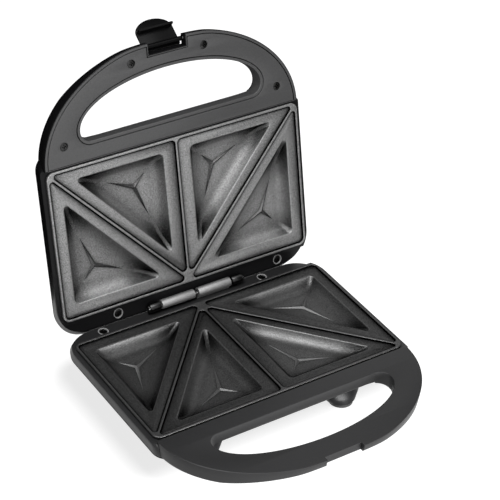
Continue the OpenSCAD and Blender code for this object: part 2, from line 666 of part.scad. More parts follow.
module base_wiring() color("Red") in_base() {
    for (e = [[heater_x, fuse_x + 7], [-heater_x, inlet_x - block_x]]) {
        translate([e[0], wire_y, wire_z]) cylinder(h = heater_z - 0.4 - wire_z, r = wire_r);
        translate([e[0], wire_y, wire_z]) sphere(wire_r);
        translate([min(e[0], e[1]), wire_y, wire_z]) rotate([0, 90, 0])
            cylinder(h = abs(e[0] - e[1]), r = wire_r);
    }
    translate([inlet_x + block_x, wire_y, wire_z]) rotate([0, 90, 0])
        cylinder(h = fuse_x - 7 - inlet_x - block_x, r = wire_r);
    translate([inlet_x, block_y - 7, floor_z + 9.5]) rotate([90, 0, 0])
        cylinder(h = block_y - 7 - thermostat_y - thermostat_r, r = wire_r);
}

module base_plate() color("Black") in_base() plate();
module base_heater() color("Orange") in_base() heater();
module base_heat_shield() color("LightGray") in_base() heat_shield();
module base_shield_screws() color("Gold") in_base() shield_screws();
module base_plate_screws() color("Gold") in_base() plate_screws();
module bottom_cover_screws() color("Silver") in_base() column_screws();
module base_shelf_screws() color("Silver") in_base() shelf_screws(base_shelf_spots);
module base_hinge_bracket() color("LightSteelBlue") in_base()
    hinge_bracket(base_knuckles, hinge_pin_r);
module base_hinge_screws() color("Gold") in_base() hinge_screws();
pin_head = 1.2;
module hinge_pin() color("White") in_base()
    translate([knuckles[0][0] - pin_head, hinge_y, hinge_z]) rotate([0, 90, 0]) {
        cylinder(h = pin_head, r = hinge_pin_r + 1);
        cylinder(h = knuckles[3][0] + barrel_end - knuckles[0][0] + 2 * pin_head + 0.4, r = hinge_pin_r);
    }

pin_x = latch_hole + 2.2;
module lid_housing() color("DimGray") in_lid() difference() {
    half_frame(lid_knuckles, lid_shelf_spots);
    translate([-latch_hole, tip_y - 5, -handle_h]) cube([2 * latch_hole, lid_notch + 5, handle_h + 1]);
    translate([0, 0, -panel_t]) linear_extrude(panel_t + 1) panel_shape(panel_gap);
    for (s = panel_spots) translate([s[0], s[1], -panel_t - 2.9]) cylinder(h = 4, r = screw_r);
    translate([-pin_x, latch_y, -latch_depth]) rotate([0, 90, 0])
        cylinder(h = 2 * pin_x, r = latch_pin_r);
}
module lid_cover() color("SlateGray") in_lid() difference() {
    half_cover(lid_shelf_spots);
    for (x = [-1, 1]) translate([x * lens_pitch / 2, lens_y, -half_h - 1])
        cylinder(h = wall + 2, r = lens_r);
}
module lid_handle_panel() color("Gray") in_lid() difference() {
    translate([0, 0, -panel_t]) linear_extrude(panel_t) panel_shape(0);
    for (s = panel_spots) {
        translate([s[0], s[1], -screw_sink - screw_head_h]) cylinder(h = 5, r = screw_head_r + 0.2);
        translate([s[0], s[1], -panel_t - 1]) cylinder(h = 5, r = screw_r + screw_clear);
    }
}
module lid_panel_screws() color("Silver") in_lid() for (s = panel_spots)
    translate([s[0], s[1], -screw_sink]) screw(panel_t - screw_sink - screw_head_h + 2.8);
module lid_plate() color("Black") in_lid() plate();
module lid_heater() color("Orange") in_lid() heater();
module lid_heat_shield() color("LightGray") in_lid() heat_shield();
module lid_shield_screws() color("Gold") in_lid() shield_screws();
module lid_plate_screws() color("Gold") in_lid() plate_screws();
module lid_cover_screws() color("Silver") in_lid() column_screws();
module lid_shelf_screws() color("Silver") in_lid() shelf_screws(lid_shelf_spots);
module lid_hinge_bracket() color("LightSteelBlue") in_lid()
    hinge_bracket(lid_knuckles, hinge_pin_r + pin_clear);
module lid_hinge_screws() color("Gold") in_lid() hinge_screws();
lens_h = 1;
module lens(x) translate([x, lens_y, -half_h - lens_h]) {
    cylinder(h = wall + lens_h, r = lens_r);
    translate([0, 0, wall + lens_h]) cylinder(h = 1.2, r = lens_r + 1.2);
}
module power_lens() color("Red") in_lid() lens(-lens_pitch / 2);
module ready_lens() color("Green") in_lid() lens(lens_pitch / 2);
module indicator_lamps() color("Orange") in_lid() for (x = [-1, 1])
    translate([x * lens_pitch / 2, lens_y, -half_h + wall + 1.2]) cylinder(h = 7, r = 2.4);

// The latch in its hooked place, about its own axis, its tab pointing down.
tab_y = -latch_out;
hook_top = -latch_z - nose_h - hook_play;
hook_h = 1.8;
hook_in = 4.8;
tab_r = 9.5;
module tab_shape() {
    w = latch_w / 2;
    translate([-w, tab_r - latch_l]) square([latch_w, latch_l - tab_r + latch_r + 0.2]);
    translate([tab_r - w, -latch_l]) square([latch_w - 2 * tab_r, tab_r + 1]);
    for (x = [-1, 1]) translate([x * (w - tab_r), tab_r - latch_l]) circle(tab_r);
}
barrel_half = 13.7;
module latch() color("DarkGray") in_latch() difference() {
    union() {
        translate([0, tab_y, 0]) rotate([90, 0, 0]) linear_extrude(latch_t) tab_shape();
        translate([-barrel_half, 0, 0]) rotate([0, 90, 0]) cylinder(h = 2 * barrel_half, r = latch_r);
        translate([-barrel_half, tab_y - 0.1, -latch_r])
            cube([2 * barrel_half, -tab_y + 0.1, latch_r]);
        translate([1 - latch_w / 2, tab_y - 0.1, hook_top - hook_h])
            cube([latch_w - 2, hook_in + 0.1, hook_h]);
    }
    translate([-latch_w, 0, 0]) rotate([0, 90, 0])
        cylinder(h = 2 * latch_w, r = latch_pin_r + pin_clear);
}
module latch_pin() color("White") lid_pose() translate([-pin_x, latch_y, latch_z])
    rotate([0, 90, 0]) cylinder(h = 2 * pin_x, r = latch_pin_r);

base_housing();
base_bottom_cover();
base_handle_covers();
base_plate();
base_heater();
base_heat_shield();
base_shield_screws();
base_plate_screws();
base_handle_screws();
bottom_cover_screws();
base_shelf_screws();
rubber_feet();
cord_inlet_bush();
terminal_block();
thermostat();
thermal_fuse();
base_wiring();
base_hinge_bracket();
base_hinge_screws();
hinge_pin();
lid_housing();
lid_cover();
lid_handle_panel();
lid_panel_screws();
lid_plate();
lid_heater();
lid_heat_shield();
lid_shield_screws();
lid_plate_screws();
lid_cover_screws();
lid_shelf_screws();
lid_hinge_bracket();
lid_hinge_screws();
power_lens();
ready_lens();
indicator_lamps();
latch();
latch_pin();
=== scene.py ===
import json
import math

import bmesh
import bpy
import numpy as np
from mathutils import Matrix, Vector
from mathutils.geometry import delaunay_2d_cdt, tessellate_polygon


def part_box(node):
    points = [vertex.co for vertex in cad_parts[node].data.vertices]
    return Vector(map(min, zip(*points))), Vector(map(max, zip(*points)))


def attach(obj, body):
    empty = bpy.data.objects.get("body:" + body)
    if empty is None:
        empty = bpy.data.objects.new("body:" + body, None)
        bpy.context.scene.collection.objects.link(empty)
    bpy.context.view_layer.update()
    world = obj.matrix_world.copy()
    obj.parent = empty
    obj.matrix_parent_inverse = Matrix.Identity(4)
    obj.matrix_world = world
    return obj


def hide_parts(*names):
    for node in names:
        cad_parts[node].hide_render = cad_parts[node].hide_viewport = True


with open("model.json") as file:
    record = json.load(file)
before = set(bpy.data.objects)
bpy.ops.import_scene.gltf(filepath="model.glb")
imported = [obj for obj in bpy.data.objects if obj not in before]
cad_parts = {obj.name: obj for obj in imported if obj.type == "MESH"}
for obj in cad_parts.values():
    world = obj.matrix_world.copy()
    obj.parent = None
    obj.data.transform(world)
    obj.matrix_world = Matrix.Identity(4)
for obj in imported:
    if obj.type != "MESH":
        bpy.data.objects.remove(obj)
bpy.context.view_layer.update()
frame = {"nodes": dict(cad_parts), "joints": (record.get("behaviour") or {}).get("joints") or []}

print("frame loaded")

# Lengths are in mm up to inBase, inLid and inLatch, which place them in metres. Each half is drawn
# as the base lies: the rims of the two plates meet at z = 0, and the plate's rear edge is y = 0.
mmPerMetre = 1000
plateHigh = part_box("base_plate")[1]
rearEdge, rimPlane = plateHigh[1] * mmPerMetre, plateHigh[2] * mmPerMetre
joints = {j["name"]: j for j in frame["joints"]}
hingeY = joints["lid_hinge"]["pos_m"][1] * mmPerMetre - rearEdge
hingeZ = joints["lid_hinge"]["pos_m"][2] * mmPerMetre - rimPlane
openAngle = math.radians(joints["lid_hinge"]["range_deg"][1])
latchAngle = math.radians(joints["latch_hinge"]["range_deg"][1])
latchPivot = np.array(joints["latch_hinge"]["pos_m"]) * mmPerMetre


def turnX(p, angle):
    # turns points about the X axis by the right-hand rule
    c, s = math.cos(angle), math.sin(angle)
    return np.stack([p[..., 0], p[..., 1] * c - p[..., 2] * s, p[..., 1] * s + p[..., 2] * c], -1)


def inBase(p):
    # set down behind the plate's rear edge, at the rim's height
    return (p + [0, rearEdge, rimPlane]) / mmPerMetre


def inLid(p):
    # mirrored over the plane where the halves meet, then swung open about the hinge
    q = np.stack([p[..., 0], p[..., 1] - hingeY, hingeZ - p[..., 2]], -1)
    return (turnX(q, -openAngle) + [0, hingeY + rearEdge, hingeZ + rimPlane]) / mmPerMetre


def inLatch(p):
    # drawn hooked, about the latch pin, then flipped up with the open lid
    return (turnX(p, -openAngle - latchAngle) + latchPivot) / mmPerMetre


def level(line, z):
    # a flat outline lifted to a height, which may be one number or one per point
    return np.column_stack([line, np.broadcast_to(z, len(line))])


def loopsAlong(lineAt, rows):
    # an outline carried along an edge: each row is (inset, height), the height a number or a rule
    lines = [lineAt(inset) for inset, _ in rows]
    return [level(line, z(line) if callable(z) else z) for line, (_, z) in zip(lines, rows)]


def rings(loops):
    # quads between each loop and the next: point k of a row joins point k of the row after it
    points = np.array(loops)
    count, around = points.shape[:2]
    row, k = np.meshgrid(np.arange(count - 1), np.arange(around), indexing="ij")
    after = (k + 1) % around
    quads = np.stack([row * around + k, row * around + after,
                      (row + 1) * around + after, (row + 1) * around + k], -1)
    return points.reshape(-1, 3), quads.reshape(-1, 4).tolist()


def cap(outline, holes=()):
    # triangles that fill an outline and leave its holes open
    loops = [outline, *holes]
    flat = [level(loop[:, :2], 0.0).tolist() for loop in loops]
    return np.concatenate(loops), [list(t) for t in tessellate_polygon(flat)]


def closed(loops):
    # a solid from its loops, filled at both ends
    return [rings(loops), cap(loops[0]), cap(loops[-1])]


def sunk(loops):
    # a hole in a face, from the mouth down to its floor
    return [rings(loops), cap(loops[-1])]


def arc(cx, cy, r, start, end, count):
    # points round a centre, evenly between two angles in degrees
    t = np.radians(np.linspace(start, end, count))
    return np.column_stack([cx + r * np.cos(t), cy + r * np.sin(t)])


def roundHole(x, y, rows, count=32):
    # round hole or boss: rows of (radius, height)
    return [level(arc(x, y, r, 0, 360, count + 1)[:-1], z) for r, z in rows]


def block(x0, x1, y0, y1, z0, z1, edge):
    # box with small chamfers all round
    def line(i):
        return np.array([[x0 + i, y0 + i], [x1 - i, y0 + i], [x1 - i, y1 - i], [x0 + i, y1 - i]])
    return closed(loopsAlong(line, [(edge, z1), (0, z1 - edge), (0, z0 + edge), (edge, z0)]))


def spun(profile, count):
    # profile of (radius, x) turned round the X axis: y and z are the radius by cosine and sine
    r, x = np.array(profile, float).T
    t = np.linspace(0, 2 * math.pi, count, endpoint=False)
    return rings(np.stack([np.outer(x, np.ones(count)), np.outer(r, np.cos(t)),
                           np.outer(r, np.sin(t))], -1))


weldWithin = 0.004 / mmPerMetre
sliverUnder = 0.0005 / mmPerMetre
pieces = {}


def piece(name, parts, place, body, material, node, angle=32):
    # joins parts into one object, welds their seams and points every face outwards
    mesh = bpy.data.meshes.new(name)
    built = bmesh.new()
    for verts, faces, *look in parts:
        one = bpy.data.meshes.new("part")
        one.from_pydata(place(np.asarray(verts, float)).tolist(), [], faces)
        one.polygons.foreach_set("material_index", (look or [0]) * len(faces))
        built.from_mesh(one)
        bpy.data.meshes.remove(one)
    bmesh.ops.remove_doubles(built, verts=built.verts, dist=weldWithin)
    bmesh.ops.dissolve_degenerate(built, edges=built.edges, dist=sliverUnder)
    bmesh.ops.recalc_face_normals(built, faces=built.faces)
    built.to_mesh(mesh)
    built.free()
    mesh.polygons.foreach_set("use_smooth", [True] * len(mesh.polygons))
    mesh.set_sharp_from_angle(angle=math.radians(angle))
    obj = bpy.data.objects.new(name, mesh)
    bpy.context.scene.collection.objects.link(obj)
    for look in material if isinstance(material, list) else [material]:
        mesh.materials.append(look)
    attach(obj, body)
    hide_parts(node)
    pieces[name] = obj


def newGroup(name, inputs, outputs):
    # empty node group with named number inputs, their defaults, and named outputs
    group = bpy.data.node_groups.new(name, "ShaderNodeTree")
    for label, value in inputs:
        group.interface.new_socket(label, in_out="INPUT", socket_type="NodeSocketFloat").default_value = value
    for label in outputs:
        group.interface.new_socket(label, in_out="OUTPUT", socket_type="NodeSocketFloat")
    return group, group.nodes.new("NodeGroupInput"), group.nodes.new("NodeGroupOutput")


def fineGrain():
    # two noises over object position: a close grain for bump and a slow drift for gloss
    group, into, out = newGroup("fineGrain", [("Scale", 900.0), ("Drift", 25.0)], ["Grain", "Drift"])
    coords = group.nodes.new("ShaderNodeTexCoord")
    for source, target, detail in (("Scale", "Grain", 3.0), ("Drift", "Drift", 2.0)):
        noise = group.nodes.new("ShaderNodeTexNoise")
        noise.inputs["Detail"].default_value = detail
        group.links.new(coords.outputs["Object"], noise.inputs["Vector"])
        group.links.new(into.outputs[source], noise.inputs["Scale"])
        group.links.new(noise.outputs["Fac"], out.inputs[target])
    return group


def hollowShade():
    # painted shade: 1 in the open, falling to 0 where the piece's own walls close in round a point
    group, into, out = newGroup("hollowShade", [("Reach", 0.01), ("Dark", 0.6), ("Open", 0.95)], ["Shade"])
    hollow = group.nodes.new("ShaderNodeAmbientOcclusion")
    hollow.only_local = True
    hollow.samples = 8
    group.links.new(into.outputs["Reach"], hollow.inputs["Distance"])
    spread = group.nodes.new("ShaderNodeMapRange")
    spread.interpolation_type = "SMOOTHSTEP"
    group.links.new(hollow.outputs["AO"], spread.inputs["Value"])
    group.links.new(into.outputs["Dark"], spread.inputs["From Min"])
    group.links.new(into.outputs["Open"], spread.inputs["From Max"])
    group.links.new(spread.outputs["Result"], out.inputs["Shade"])
    return group


grainGroup = fineGrain()
shadeGroup = hollowShade()
surface = dict(noiseLow=0.3, noiseHigh=0.7, drift=25.0, glossSpread=0.08)


def spreadNoise(tree, source, low, high):
    # stretches the middle range of a noise over low to high
    node = tree.nodes.new("ShaderNodeMapRange")
    for socket, value in (("From Min", surface["noiseLow"]), ("From Max", surface["noiseHigh"]),
                          ("To Min", low), ("To Max", high)):
        node.inputs[socket].default_value = value
    tree.links.new(source, node.inputs["Value"])
    return node.outputs["Result"]


def shaded(tree, colour, hollow):
    # multiplies a colour by the shade of the piece's hollows: (reach in metres, dark, open)
    shade = tree.nodes.new("ShaderNodeGroup")
    shade.node_tree = shadeGroup
    for socket, value in zip(("Reach", "Dark", "Open"), hollow):
        shade.inputs[socket].default_value = value
    darker = tree.nodes.new("ShaderNodeMix")
    darker.data_type, darker.blend_type = "RGBA", "MULTIPLY"
    darker.inputs["Factor"].default_value = 1.0
    tree.links.new(colour, darker.inputs["A"])
    tree.links.new(shade.outputs["Shade"], darker.inputs["B"])
    return darker.outputs["Result"]


def finish(name, colour, rough, metal=0.0, grain=900.0, bump=0.00002, fleck=0.12, specular=0.5,
           rimTint=1.0, hollow=None):
    # plastic, coating or metal: base colour flecked by the grain, gloss that drifts slowly; rimTint
    # below 1 dims the shine at grazing angles; hollow paints shade into the base colour where the piece's
    # walls close in
    material = bpy.data.materials.new(name)
    material.use_nodes = True
    tree = material.node_tree
    shader = tree.nodes["Principled BSDF"]
    shader.inputs["Metallic"].default_value = metal
    shader.inputs["Specular IOR Level"].default_value = specular
    shader.inputs["Specular Tint"].default_value = (rimTint, rimTint, rimTint, 1)
    group = tree.nodes.new("ShaderNodeGroup")
    group.node_tree = grainGroup
    group.inputs["Scale"].default_value = grain
    group.inputs["Drift"].default_value = surface["drift"]
    mix = tree.nodes.new("ShaderNodeMix")
    mix.data_type = "RGBA"
    mix.inputs["A"].default_value = [c * (1 - fleck) for c in colour] + [1]
    mix.inputs["B"].default_value = [min(1, c * (1 + fleck)) for c in colour] + [1]
    tree.links.new(spreadNoise(tree, group.outputs["Grain"], 0, 1), mix.inputs["Factor"])
    tinted = shaded(tree, mix.outputs["Result"], hollow) if hollow else mix.outputs["Result"]
    tree.links.new(tinted, shader.inputs["Base Color"])
    half = surface["glossSpread"] / 2
    gloss = spreadNoise(tree, group.outputs["Drift"], rough - half, rough + half)
    tree.links.new(gloss, shader.inputs["Roughness"])
    relief = tree.nodes.new("ShaderNodeBump")
    relief.inputs["Distance"].default_value = bump
    tree.links.new(group.outputs["Grain"], relief.inputs["Height"])
    tree.links.new(relief.outputs["Normal"], shader.inputs["Normal"])
    return material


plastic = dict(grain=1400, bump=0.000008)
casting = dict(grain=1500, bump=0.00003, fleck=0.5, specular=0.15, rimTint=0.1)
# reach, dark and open of the shade painted into the base plate's hollows
baseHollowShade = (0.014, 0.72, 0.98)
blackShell = finish("blackShell", (0.016, 0.016, 0.0165), 0.45, specular=0.25, **plastic)
# the same black plastic as blackShell, painted darker with less shine for the lid's housing and both covers:
# painted shade
shellPaintedShade = finish("shellPaintedShade", (0.008, 0.008, 0.0085), 0.35, specular=0.15, **plastic)
# the latch's black plastic painted darker still: painted shade
latchPaintedShade = finish("latchPaintedShade", (0.003, 0.003, 0.0032), 0.3, specular=0.08, **plastic)
satinPanel = finish("satinPanel", (0.075, 0.075, 0.076), 0.4, grain=1100, bump=0.00001)
# light grey on the lips round the shelf's screw wells: painted highlight
lipPaintedHighlight = finish("lipPaintedHighlight", (0.3, 0.3, 0.3), 0.35)
# one coating for both plates, painted in two copies: lighter on the lid as painted light, darker on the base
# as painted shade
lidCoatingPaintedLight = finish("lidCoatingPaintedLight", (0.35, 0.35, 0.35), 0.48, metal=0.8, hollow=(0.018, 0.8, 1.0), **casting)
baseCoatingPaintedShade = finish("baseCoatingPaintedShade", (0.105, 0.105, 0.105), 0.45, metal=0.95, hollow=baseHollowShade, **casting)
# the base's lands painted darker still than its coating: painted shade
baseLandPaintedShade = finish("baseLandPaintedShade", (0.07, 0.07, 0.07), 0.45, metal=0.95, hollow=baseHollowShade, **casting)
# the base's crease stars painted lighter than its coating: painted highlight
baseCreasePaintedHighlight = finish("baseCreasePaintedHighlight", (0.14, 0.14, 0.14), 0.6, metal=0.9, grain=1500, bump=0.00003, fleck=0.3)
hingeSteel = finish("hingeSteel", (0.36, 0.36, 0.36), 0.6, metal=1.0, grain=700, fleck=0.08)
screwSteel = finish("screwSteel", (0.2, 0.2, 0.2), 0.3, metal=1.0)
# dark steel of the screws and the hinge's short knuckles, also put on the hinge pin as painted shade in the
# gap between the barrels
darkSteelAndShade = finish("darkSteelAndShade", (0.05, 0.05, 0.05), 0.3, metal=1.0)
footRubber = finish("footRubber", (0.02, 0.02, 0.02), 0.75, grain=600, bump=0.00006)
paleMoulding = finish("paleMoulding", (0.62, 0.6, 0.54), 0.55)
redLens = finish("redLens", (0.45, 0.02, 0.015), 0.15)
greenLens = finish("greenLens", (0.03, 0.3, 0.06), 0.15)
cardBlack = finish("cardBlack", (0.02, 0.02, 0.02), 0.9, specular=0.0)
print("finishes made")


# rim and rib are the widths of the raised bead; land, under and the edges' heights are below its top
plate = dict(width=216.0, depth=118.0, corner=6.0, leastCorner=1.2, cornerPoints=14, rim=1.9, rib=1.9,
             land=-1.0, under=-4.4, wall=1.2)
rimEdge = [(0.7, 0), (0.3, -0.06), (0.1, -0.18), (0, -0.4), (0, -1.9), (0.15, -2.2), (0.45, -2.3),
           (4.7, -2.3), (4.7, plate["under"])]
beadEdge = [(-0.6, 0), (-0.4, -0.03), (-0.2, -0.14), (-0.05, -0.34), (0.05, -0.7), (0.1, -1.1),
            (0.2, -1.3), (0.32, -1.35), (0.46, -1.25), (0.56, -1.08), (0.7, plate["land"])]
diagonal = dict(hubY=-3.0, cornerIn=2.3, cornerUp=2.5)  # middle line of the slanting rib
landCorners = dict(rear=(3.8, 3.0, 2.2), front=(3.0, 3.4, 2.2), least=0.3)
# a right triangle with sides width and length; side, rear, middle and front are its gaps to the plate
pocket = dict(width=74.0, length=81.0, corners=(4.0, 2.2, 2.2), wallRun=10.0, wallDrop=6.9, drop=8.2,
              steep=2.5, edgeDrop=0.3, side=11.2, rear=12.1, middle=11.6, front=10.0)
pocketIn = (pocket["width"] + pocket["length"] - math.hypot(pocket["width"], pocket["length"])) / 2
pocketCorners = np.array([[pocketIn, pocketIn], [pocketIn - pocket["width"], pocketIn],
                          [pocketIn, pocketIn - pocket["length"]]])
pocketSlant = math.atan2(pocket["width"], pocket["length"])
lipRows = [(-0.8, 0), (-0.55, 0.02), (-0.3, 0.1), (-0.05, 0.26), (0.15, 0.5)]  # (distance in, drop)
wallSteps = [0.4, 0.8, 1.3, 1.9, 2.6, 3.5, 4.6, 5.8, 7, 8.2, 9.2, 10, 11.5, 14, 17, 20, pocketIn]
bowlSteps = [0.0, 0.3, 1, 2.4, 4.6, 7.4, 9.4, pocketIn]
star = dict(arms=(14.0, 26.0, 28.0), half=1.5, rise=0.3, proud=0.03, root=0.5)


def plateLine(inset):
    # the plate's outline set in: a rectangle with rounded corners, anticlockwise from the front right
    x, front, rear = plate["width"] / 2 - inset, inset - plate["depth"], -inset
    r, count = max(plate["leastCorner"], plate["corner"] - inset), plate["cornerPoints"]
    return np.concatenate([arc(x - r, front + r, r, 270, 360, count), arc(x - r, rear - r, r, 0, 90, count),
                           arc(r - x, rear - r, r, 90, 180, count),
                           arc(r - x, front + r, r, 180, 270, count)])


def pocketDrop(d):
    # depth below the land at distance d from the edge: curved wall, then flat faces to the crease
    slope = (pocket["drop"] - pocket["wallDrop"]) / (pocketIn - pocket["wallRun"])
    curve = pocket["wallDrop"] - slope * pocket["wallRun"]
    t = np.clip(d / pocket["wallRun"], 0, 1)
    return curve * (1 - (1 - t) ** pocket["steep"]) + slope * np.maximum(d, 0)


def floorHeight(d):
    # height of the pocket's wall and faces at distance d from its edge, below the rounded lip
    return plate["land"] - pocket["edgeDrop"] - pocketDrop(d)


def pocketRing(d, z, grow=0.0, cornerPoints=12, sidePoints=12):
    # rounded triangle about its incentre, shrunk towards it by distance d
    s = 1 - max(d, 0) / pocketIn
    turns = [0, 90, 180 + math.degrees(pocketSlant), 360]
    centres = [pocketCorners[k] * (1 - pocket["corners"][k] / pocketIn) for k in range(3)]
    radii = [r + grow + max(-d, 0) for r in pocket["corners"]]
    line = []
    for k, after in ((0, 1), (1, 2), (2, 0)):
        line.append(arc(*centres[k], radii[k], turns[k], turns[k + 1], cornerPoints))
        t = math.radians(turns[k + 1])
        last, ahead = line[-1][-1], centres[after] + radii[after] * np.array([math.cos(t), math.sin(t)])
        line.append(last + (ahead - last) * np.linspace(0, 1, sidePoints + 2)[1:-1, None])
    return level(np.concatenate(line) * s, z)


def creaseStar():
    # three low roofs along the valleys: level crests that narrow to a point, joined in the middle
    away = pocketCorners / np.linalg.norm(pocketCorners, axis=1)[:, None]
    tips = away * np.array(star["arms"])[:, None]
    notches = []
    for one, two in zip(away, np.roll(away, -1, axis=0)):
        middle = (one + two) / np.linalg.norm(one + two)
        notches.append(middle * star["half"] / abs(np.cross(one, middle)))
    normals = np.array([[0, 1], [-math.cos(pocketSlant), -math.sin(pocketSlant)], [1, 0]])
    outline = np.stack([tips, notches], 1).reshape(-1, 2)
    d = pocketIn - (outline @ normals.T).max(axis=1)
    upper = level(outline, floorHeight(d) + star["proud"])
    lower = level(outline, floorHeight(d) - star["root"])
    crest = [0, 0, upper[::2, 2].mean() + star["rise"]]
    roofs = [[k, (k + 1) % 6, 6] for k in range(6)]
    return [(np.vstack([upper, crest]), roofs), rings([upper, lower]), cap(lower)]


def roundedConvex(sides, radii, inset, count=9):
    # convex outline from its sides, each (angle of the outward normal, distance), with rounded corners
    out = []
    for one, two, radius in zip(sides, sides[1:] + sides[:1], radii):
        r = max(radius - inset, landCorners["least"])
        normals = np.array([[math.cos(a), math.sin(a)] for a, _ in (one, two)])
        centre = np.linalg.solve(normals, [d - inset - r for _, d in (one, two)])
        t = one[0] + (two[0] - one[0]) % (2 * math.pi) * np.linspace(0, 1, count)
        out.append(centre + r * np.column_stack([np.cos(t), np.sin(t)]))
    return np.concatenate(out)


def landSides():
    # the two lands right of the middle: behind and in front of the slanting rib
    halfX, depth, half = plate["width"] / 2, plate["depth"], plate["rib"] / 2
    lean = math.atan2(halfX - diagonal["cornerIn"], depth + diagonal["hubY"] - diagonal["cornerUp"])
    hub = diagonal["hubY"] * math.sin(lean)
    rear = [(0.0, halfX - plate["rim"]), (math.pi / 2, -plate["rim"]), (lean + math.pi, -hub - half)]
    front = [(lean, hub - half), (math.pi, -half), (1.5 * math.pi, depth - plate["rim"])]
    return rear, front


def pocketPlaces():
    # mirroring, incentre, sides and corners of the land, and which way that land is mirrored
    rear, front = landSides()
    x, y = plate["width"] / 2 - pocket["side"] - pocketIn, -pocket["rear"] - pocketIn
    a, b = pocket["middle"] + pocketIn, -plate["depth"] + pocket["front"] + pocketIn
    rear, front = (rear, landCorners["rear"]), (front, landCorners["front"])
    return [((1, 1), (x, y), *rear, 1), ((-1, 1), (-x, y), *rear, -1),
            ((-1, -1), (a, b), *front, 1), ((1, -1), (-a, b), *front, -1)]


def castPlate():
    # rim, lands and pockets as one skin: the upper face from the bead down, the bowls from below
    land, under, thick = plate["land"], plate["under"], plate["wall"]
    outer = loopsAlong(plateLine, rimEdge)
    parts, lands, mouths = [rings(outer)], [], []
    for mirrored, centre, sides, corners, flip in pocketPlaces():
        scale, move = np.array([*mirrored, 1]), np.array([*centre, 0])
        wall = [pocketRing(d, land - drop) * scale + move for d, drop in lipRows]
        wall += [pocketRing(d, floorHeight(d)) * scale + move for d in wallSteps]
        bowl = [pocketRing(d, land - (pocketDrop(d) + thick), thick) * scale + move for d in bowlSteps]
        bowl[0][:, 2] = under
        bowl[1][:, 2] = np.minimum(bowl[1][:, 2], under)
        rise = [level(roundedConvex(sides, corners, inset) * [flip, 1], z) for inset, z in beadEdge]
        parts += [rings(wall), rings(bowl), rings(rise), (*cap(rise[-1], [wall[0]]), 2)]
        parts += [(v * scale + move, f, 1) for v, f in creaseStar()]
        lands.append(rise[0])
        mouths.append(bowl[0])
    return parts + [cap(outer[0], lands), cap(outer[-1], mouths)]


# the base plate's finishes: coating painted dark as shade, crease stars painted light as highlight, lands
# painted darker still as shade
piece("basePlateCast", castPlate(), inBase, "base", [baseCoatingPaintedShade, baseCreasePaintedHighlight, baseLandPaintedShade], "base_plate",
      angle=38)
piece("lidPlateCast", castPlate(), inLid, "lid", [lidCoatingPaintedLight] * 3, "lid_plate",
      angle=38)
print("plates made")


# height, side inset, front edge, rear edge, front corner, rear corner
bandRows = np.array([[-13.0, 1.8, -128.5, 18.8, 12, 24], [-11.4, 1.44, -128.5, 18.8, 12, 24],
                     [-5.0, 0.36, -121.5, 13.9, 4, 24], [-2.6, 0.0, -120.5, 13.9, 3, 24]])
domeRows = np.array([[-13.0, 1.8, -128.5, 18.8, 12, 24], [-22.0, 6.8, -119.0, 18.3, 16, 24],
                     [-30.0, 12.3, -109.5, 13.8, 18, 22], [-35.6, 17.8, -103.0, 5.8, 20, 19],
                     [-38.0, 23.8, -97.5, -3.2, 22, 16]])
body = dict(half=111.5, rearAtTop=13.9, cornerAtTop=24, shelfFrom=3.5, ledge=-2.6, shelf=-5.0, bottom=-13.0,
            opening=3.4, topEdge=((0.5, 0), (0.14, -0.13), (0, -0.5)), sides=(-6.5, -8, -9.7, -11.4, -12.4),
            lowEdge=((0.1, -12.8), (0.5, -13.0)))
boss = dict(well=[(5.0, body["shelf"]), (5.0, -4.6), (4.8, -4.4), (4.0, -4.4)],
            lip=[(4.0, -4.4), (3.9, -4.3), (3.45, -4.3), (3.3, -4.5), (3.3, -6.4)])
webSlot = dict(beside=0.4, half=0.9, floor=-7)
cover = dict(seamEdge=((0.5, -13.15), (0.12, -13.3)), seam=-13.7, rows=29, top=-38.05, topInset=1.2,
             lensWell=[(5.2, -38.05), (4.9, -37.9), (4.5, -37.6), (4.05, -37.6), (4.05, -36.4)])
arcPoints = 9
sidePoints = 2 * arcPoints  # the outline's right side, rear and left side have two arcs each


def bodyLine(row, inset):
    # housing outline with doubled points where the rear shelf steps down
    _, side, front, rear, frontCorner, rearCorner = row
    x, f, b = body["half"] - side - inset, front + inset, rear - inset
    q, r = frontCorner - inset, rearCorner - inset
    corner = body["cornerAtTop"]
    step = math.degrees(math.asin((body["shelfFrom"] - body["rearAtTop"] + corner) / corner))
    return np.concatenate([arc(x - q, f + q, q, 270, 360, arcPoints),
                           arc(x - r, b - r, r, 0, step, arcPoints),
                           arc(x - r, b - r, r, step, 90, arcPoints),
                           arc(r - x, b - r, r, 90, 180 - step, arcPoints),
                           arc(r - x, b - r, r, 180 - step, 180, arcPoints),
                           arc(q - x, f + q, q, 180, 270, arcPoints)])


def bandLine(z, inset=0):
    # the band's outline at a height, straight between the rows of its table
    heights = bandRows[:, 0]
    return bodyLine([z] + [np.interp(z, heights, column) for column in bandRows.T[1:]], inset)


